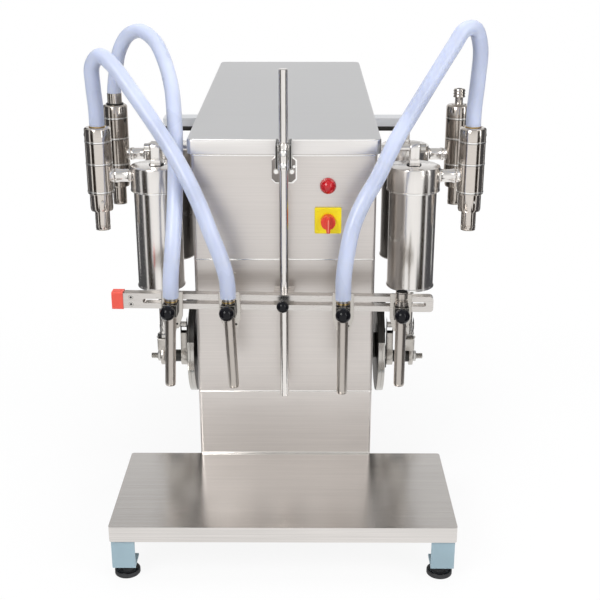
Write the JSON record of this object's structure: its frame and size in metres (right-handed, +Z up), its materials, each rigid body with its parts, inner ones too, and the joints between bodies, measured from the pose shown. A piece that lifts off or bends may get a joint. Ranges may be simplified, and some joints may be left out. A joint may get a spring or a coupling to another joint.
{
  "type": "semi-automatic piston filling machine",
  "caption": "Bench-height piston filler: steel cabinet, side cylinders on a crank drive, valve chambers with hoses, slotted rail with clamped nozzles over a bottle platform.",
  "frame": {"origin": "on the floor, under the middle of the machine's box without its hoses", "axes": "+Z up, +X to the operator's right, the operator and the bottle platform on the -Y side"},
  "size_m": [0.7442, 1.1229, 0.9119],
  "materials": {
    "brushed_stainless": "brushed sheet",
    "mirror_stainless": "bright, blurred mirror",
    "polished_stainless": "polished",
    "turned_stainless": "turned and milled",
    "blackened_iron": "blackened, satin",
    "blue_paint": "light blue-grey enamel, semi-gloss",
    "grey_paint": "machine enamel, satin",
    "black_plastic": "gloss",
    "black_rubber": "matte",
    "red_plastic": "satin",
    "red_lens": "gloss lens",
    "yellow_plastic": "satin",
    "clear_silicone": "translucent, bluish white"
  },
  "bodies": {
    "machine": {"base_frame": "blue_paint", "levelling_foot_front_left": "black_rubber", "levelling_foot_front_right": "black_rubber", "levelling_foot_rear_left": "black_rubber", "levelling_foot_rear_right": "black_rubber", "platform_plate": "mirror_stainless", "lower_cabinet": "brushed_stainless", "middle_cabinet": "brushed_stainless", "upper_cabinet": "brushed_stainless", "hanger_shaft": "turned_stainless", "rear_hanger_beam": "brushed_stainless", "gearbox": "grey_paint", "motor": "grey_paint", "shaft_bearing_left": "blackened_iron", "shaft_bearing_right": "blackened_iron", "cylinder_barrel_front_left": "polished_stainless", "cylinder_barrel_front_right": "polished_stainless", "cylinder_barrel_rear_left": "polished_stainless", "cylinder_barrel_rear_right": "polished_stainless", "cylinder_head_front_left": "polished_stainless", "cylinder_head_front_right": "polished_stainless", "cylinder_head_rear_left": "polished_stainless", "cylinder_head_rear_right": "polished_stainless", "rod_clamp_bracket": "turned_stainless", "pilot_lamp": "red_lens", "main_switch_body": "yellow_plastic", "hose_front_left": "clear_silicone", "hose_rear_left": "clear_silicone", "hose_front_right": "clear_silicone"},
    "crank": {"crank_shaft": "turned_stainless", "crank_disc_left": "polished_stainless", "crank_disc_right": "polished_stainless"},
    "stroke_block_left": {"stroke_adjuster_left": "blackened_iron"},
    "stroke_block_right": {"stroke_adjuster_right": "blackened_iron"},
    "piston_pair_left": {"crosshead_left": "turned_stainless", "piston_rod_front_left": "turned_stainless", "piston_rod_rear_left": "turned_stainless"},
    "piston_pair_right": {"crosshead_right": "turned_stainless", "piston_rod_front_right": "turned_stainless", "piston_rod_rear_right": "turned_stainless"},
    "link_left": {"connecting_rod_left": "turned_stainless"},
    "link_right": {"connecting_rod_right": "turned_stainless"},
    "carriage": {"rail_rod": "polished_stainless", "nozzle_rail": "brushed_stainless", "rail_end_cap": "red_plastic"},
    "rail_clamp": {"rail_knob": "black_plastic"},
    "holder_outer_left": {"nozzle_holder_outer_left": "brushed_stainless"},
    "holder_inner_left": {"nozzle_holder_inner_left": "brushed_stainless"},
    "holder_inner_right": {"nozzle_holder_inner_right": "brushed_stainless"},
    "holder_outer_right": {"nozzle_holder_outer_right": "brushed_stainless"},
    "nozzle_outer_left": {"nozzle_tube_outer_left": "polished_stainless"},
    "nozzle_inner_left": {"nozzle_tube_inner_left": "polished_stainless"},
    "nozzle_inner_right": {"nozzle_tube_inner_right": "polished_stainless"},
    "nozzle_outer_right": {"nozzle_tube_outer_right": "polished_stainless"},
    "knob_outer_left": {"nozzle_knob_outer_left": "black_plastic"},
    "knob_inner_left": {"nozzle_knob_inner_left": "black_plastic"},
    "knob_inner_right": {"nozzle_knob_inner_right": "black_plastic"},
    "knob_outer_right": {"nozzle_knob_outer_right": "black_plastic"},
    "lid_cover": {"lid": "brushed_stainless"},
    "switch_handle": {"main_switch_knob": "red_plastic"}
  },
  "joints": [
    {"name": "crank_turn", "type": "hinge", "parent": "machine", "child": "crank", "pos_m": [0, -0.0795, 0.247], "axis": [1, 0, 0], "range_deg": [0, 180]},
    {"name": "left_piston_stroke", "type": "slide", "parent": "machine", "child": "piston_pair_left", "axis": [0, 0, 1], "range_m": [0, 0.05]},
    {"name": "right_piston_stroke", "type": "slide", "parent": "machine", "child": "piston_pair_right", "axis": [0, 0, 1], "range_m": [0, 0.05]},
    {"name": "left_link_swing", "type": "hinge", "parent": "piston_pair_left", "child": "link_left", "pos_m": [-0.241, -0.0795, 0.292], "axis": [1, 0, 0], "range_deg": [-20.9, 20.9]},
    {"name": "right_link_swing", "type": "hinge", "parent": "piston_pair_right", "child": "link_right", "pos_m": [0.241, -0.0795, 0.292], "axis": [1, 0, 0], "range_deg": [-20.9, 20.9]},
    {"name": "left_stroke_adjust", "type": "slide", "parent": "crank", "child": "stroke_block_left", "axis": [0, 0, 1], "range_m": [-0.045, 0.012]},
    {"name": "right_stroke_adjust", "type": "slide", "parent": "crank", "child": "stroke_block_right", "axis": [0, 0, 1], "range_m": [-0.045, 0.012]},
    {"name": "rail_height", "type": "slide", "parent": "machine", "child": "carriage", "axis": [0, 0, 1], "range_m": [-0.1, 0.1], "deforming": ["hose_front_left", "hose_rear_left", "hose_front_right"]},
    {"name": "rail_knob_turn", "type": "hinge", "parent": "carriage", "child": "rail_clamp", "pos_m": [-0.00178, -0.38547, 0.441], "axis": [0.0349, 0.9994, 0], "range_deg": [0, 720]},
    {"name": "outer_left_holder_slide", "type": "slide", "parent": "carriage", "child": "holder_outer_left", "axis": [0.9994, -0.0349, 0], "range_m": [-0.03, 0.02]},
    {"name": "inner_left_holder_slide", "type": "slide", "parent": "carriage", "child": "holder_inner_left", "axis": [0.9994, -0.0349, 0], "range_m": [-0.02, 0.02]},
    {"name": "inner_right_holder_slide", "type": "slide", "parent": "carriage", "child": "holder_inner_right", "axis": [0.9994, -0.0349, 0], "range_m": [-0.02, 0.02]},
    {"name": "outer_right_holder_slide", "type": "slide", "parent": "carriage", "child": "holder_outer_right", "axis": [0.9994, -0.0349, 0], "range_m": [-0.02, 0.03]},
    {"name": "outer_left_nozzle_lift", "type": "slide", "parent": "holder_outer_left", "child": "nozzle_outer_left", "axis": [0.0419, -0.0015, 0.9991], "range_m": [0, 0.03]},
    {"name": "inner_left_nozzle_lift", "type": "slide", "parent": "holder_inner_left", "child": "nozzle_inner_left", "axis": [-0.041, 0.0014, 0.9992], "range_m": [0, 0.03]},
    {"name": "inner_right_nozzle_lift", "type": "slide", "parent": "holder_inner_right", "child": "nozzle_inner_right", "axis": [0, 0, 1], "range_m": [0, 0.03]},
    {"name": "outer_right_nozzle_lift", "type": "slide", "parent": "holder_outer_right", "child": "nozzle_outer_right", "axis": [0, 0, 1], "range_m": [0, 0.03]},
    {"name": "outer_left_knob_turn", "type": "hinge", "parent": "holder_outer_left", "child": "knob_outer_left", "pos_m": [-0.20056, -0.41335, 0.439], "axis": [0.0349, 0.9994, 0], "range_deg": [0, 720]},
    {"name": "inner_left_knob_turn", "type": "hinge", "parent": "holder_inner_left", "child": "knob_inner_left", "pos_m": [-0.09805, -0.41693, 0.439], "axis": [0.0349, 0.9994, 0], "range_deg": [0, 720]},
    {"name": "inner_right_knob_turn", "type": "hinge", "parent": "holder_inner_right", "child": "knob_inner_right", "pos_m": [0.10294, -0.42395, 0.439], "axis": [0.0349, 0.9994, 0], "range_deg": [0, 720]},
    {"name": "outer_right_knob_turn", "type": "hinge", "parent": "holder_outer_right", "child": "knob_outer_right", "pos_m": [0.20448, -0.42749, 0.439], "axis": [0.0349, 0.9994, 0], "range_deg": [0, 720]},
    {"name": "lid_opening", "type": "hinge", "parent": "machine", "child": "lid_cover", "pos_m": [0, 0.5555, 0.71796], "axis": [-1, 0, 0], "range_deg": [0, 80]},
    {"name": "main_switch_turn", "type": "hinge", "parent": "machine", "child": "switch_handle", "pos_m": [0.0785, -0.3, 0.572], "axis": [0, -1, 0], "range_deg": [0, 90]}
  ],
  "couplings": [
    {"joint": "left_piston_stroke", "follows": "crank_turn", "m_per_rad": 0.015915},
    {"joint": "right_piston_stroke", "follows": "crank_turn", "m_per_rad": 0.015915}
  ]
}
